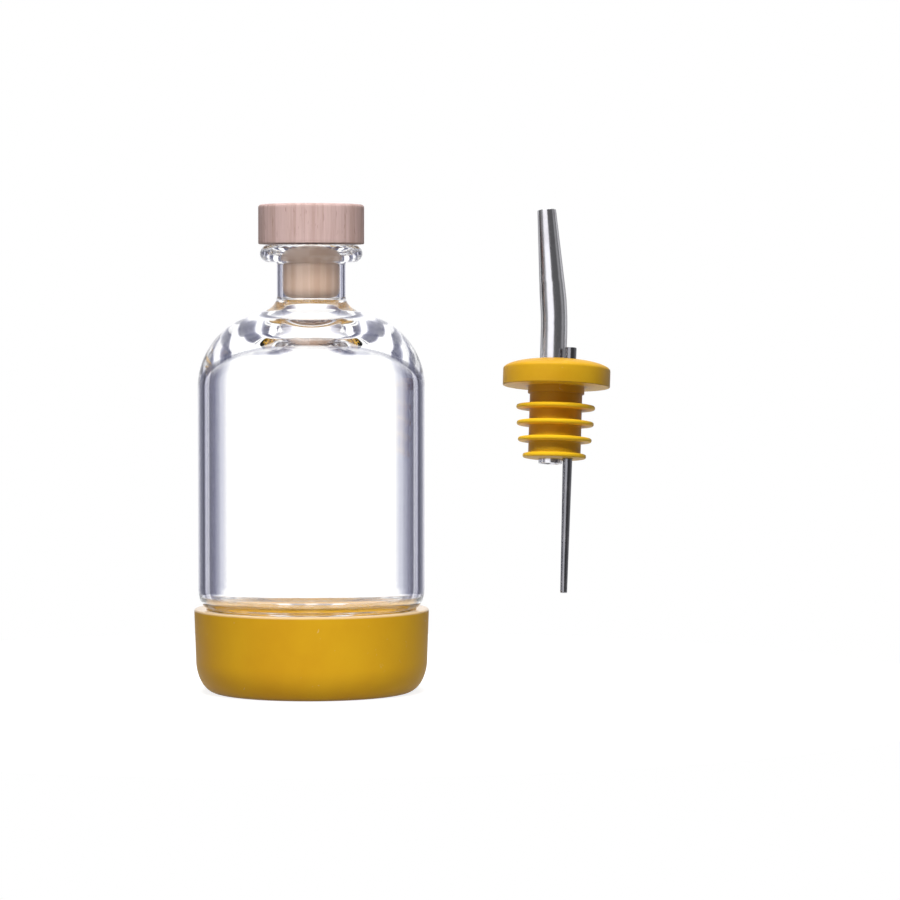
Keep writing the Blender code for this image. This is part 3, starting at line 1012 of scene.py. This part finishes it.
# the studio: a white floor, soft lamps and a world that is white behind the object
studio = {
    "floorRadius": 0.24,
    "floorTone": 0.35,
    "floorGlow": 0.85,
    "cameraPlace": (0.0485, -1.267, 0.1295),
    "cameraDip": 2.02,
    "lens": 144.8,
    "sensor": 36,
    "bounces": 24,
    "ambient": 0.10,
    "windowGain": 1.25,
    "windowTurn": 2.3,
    "windowReach": 45.0,
    "mirrorBlue": 1.03,
    "lamps": {
        # power, size, spread in degrees, place, aim, and whether polished surfaces mirror it
        "key_lamp": (5.6, (0.35, 0.35), 180, (0.0, -0.42, 0.64), (0.03, 0, 0.09), False),
        "overhead_lamp": (3.0, (0.76, 0.36), 180, (0.0, 0.09, 0.93), (0.0, 0.09, 0.0), True),
        "boot_lamp": (0.013, (0.12, 0.12), 14, (0.03, -0.60, 0.05), (0.006, 0, 0.015), False),
        "neck_lamp": (0.006, (0.10, 0.10), 10, (-0.01, -0.60, 0.15), (0.0, 0, 0.150), False),
    },
}

# what glass sees, by degrees from the nearest window's middle; there is a window every 90 degrees
windowTones = [
    (0, (1, 1, 1)), (7.0, (1, 1, 1)), (8.5, (0.60, 0.61, 0.70)), (10.5, (0.36, 0.37, 0.46)),
    (13, (0.20, 0.205, 0.29)), (16, (0.135, 0.14, 0.21)), (20, (0.105, 0.11, 0.17)),
    (30, (0.10, 0.105, 0.16)), (32, (0.3, 0.3, 0.4)), (34, (1, 1, 1)),
]

# what polished surfaces mirror, by degrees from straight behind the object, right being positive
mirrorTones = [
    (-180, 0.20), (-176, 1.60), (-129, 1.60), (-119, 0.40), (-92, 0.34), (-86, 0.06), (-66, 0.06),
    (-60, 0.90), (-50, 0.85), (-42, 0.42), (-28, 0.42), (-16, 0.85), (0, 0.95), (16, 0.85), (28, 0.42),
    (42, 0.42), (50, 0.80), (68, 0.80), (74, 0.22), (88, 0.25), (94, 0.45), (108, 0.40), (116, 0.14),
    (172, 0.16), (180, 0.20),
]


def studioWorld():
    s = studio
    world = bpy.data.worlds.new("white_studio")
    bpy.context.scene.world = world
    world.use_nodes = True
    tree = world.node_tree
    paths = tree.nodes.new("ShaderNodeLightPath").outputs
    split = splitNode(tree, textureCoords(tree, "Generated"))
    degrees = mathNode(tree, "DEGREES", mathNode(tree, "ARCTAN2", split["X"], split["Y"]))

    reach = s["windowReach"]
    fromWindow = mathNode(tree, "PINGPONG", mathNode(tree, "ADD", degrees, s["windowTurn"]), reach)
    stops = [(d / reach, c) for d, c in windowTones]
    windows = rampNode(tree, mathNode(tree, "DIVIDE", fromWindow, reach), stops)
    gain = tree.nodes.new("ShaderNodeVectorMath")
    gain.operation = "SCALE"
    tree.links.new(windows, gain.inputs[0])
    gain.inputs["Scale"].default_value = s["windowGain"]

    share = mathNode(tree, "DIVIDE", mathNode(tree, "ADD", degrees, 180.0), 360.0)
    stops = [((d + 180) / 360, (t, t, t * s["mirrorBlue"])) for d, t in mirrorTones]
    tones = rampNode(tree, share, stops)

    soft = (s["ambient"], s["ambient"], s["ambient"], 1)
    colour = mixColour(tree, paths["Is Glossy Ray"], soft, tones)
    colour = mixColour(tree, paths["Is Transmission Ray"], colour, gain.outputs[0])
    colour = mixColour(tree, paths["Is Camera Ray"], colour, (1, 1, 1, 1))
    tree.links.new(colour, tree.nodes["Background"].inputs["Color"])
    tree.nodes["Background"].inputs["Strength"].default_value = 1.0


def studioFloor():
    bm = bmesh.new()
    bmesh.ops.create_circle(bm, cap_ends=True, radius=studio["floorRadius"], segments=96)
    look, tree, shader = newMaterial("white_floor")
    tone = studio["floorTone"]
    shader.inputs["Base Color"].default_value = (tone, tone, tone, 1)
    shader.inputs["Roughness"].default_value = 0.9
    shader.inputs["Emission Color"].default_value = (1, 1, 1, 1)
    paths = tree.nodes.new("ShaderNodeLightPath").outputs
    seen = mathNode(tree, "MAXIMUM", paths["Is Glossy Ray"], paths["Is Transmission Ray"])
    seen = mathNode(tree, "MAXIMUM", seen, paths["Is Camera Ray"])
    tree.links.new(mathNode(tree, "MULTIPLY", seen, studio["floorGlow"]), shader.inputs["Emission Strength"])
    newObject("studio_floor", bm, (look,))


def softLamp(name, power, size, spread, place, aim, mirrored):
    data = bpy.data.lights.new(name, "AREA")
    data.shape = "RECTANGLE"
    data.size, data.size_y = size
    data.energy = power
    data.spread = math.radians(spread)
    lamp = bpy.data.objects.new(name, data)
    lamp.location = place
    lamp.rotation_euler = (Vector(aim) - Vector(place)).to_track_quat("-Z", "Y").to_euler()
    lamp.visible_transmission = False
    lamp.visible_glossy = mirrored
    bpy.context.scene.collection.objects.link(lamp)


def placeCamera():
    data = bpy.data.cameras.new("photo_camera")
    data.lens = studio["lens"]
    data.sensor_width = studio["sensor"]
    camera = bpy.data.objects.new("photo_camera", data)
    camera.location = studio["cameraPlace"]
    camera.rotation_euler = (math.radians(90 - studio["cameraDip"]), 0, 0)
    bpy.context.scene.collection.objects.link(camera)
    bpy.context.scene.camera = camera


studioWorld()
studioFloor()
for lampName, values in studio["lamps"].items():
    softLamp(lampName, *values)
placeCamera()
print("studio ready")

# light that is trapped in the thick shoulder needs more bounces than usual
scene = bpy.context.scene
scene.view_settings.view_transform = "Standard"
scene.cycles.max_bounces = studio["bounces"]
scene.cycles.transmission_bounces = studio["bounces"]
scene.cycles.glossy_bounces = studio["bounces"]
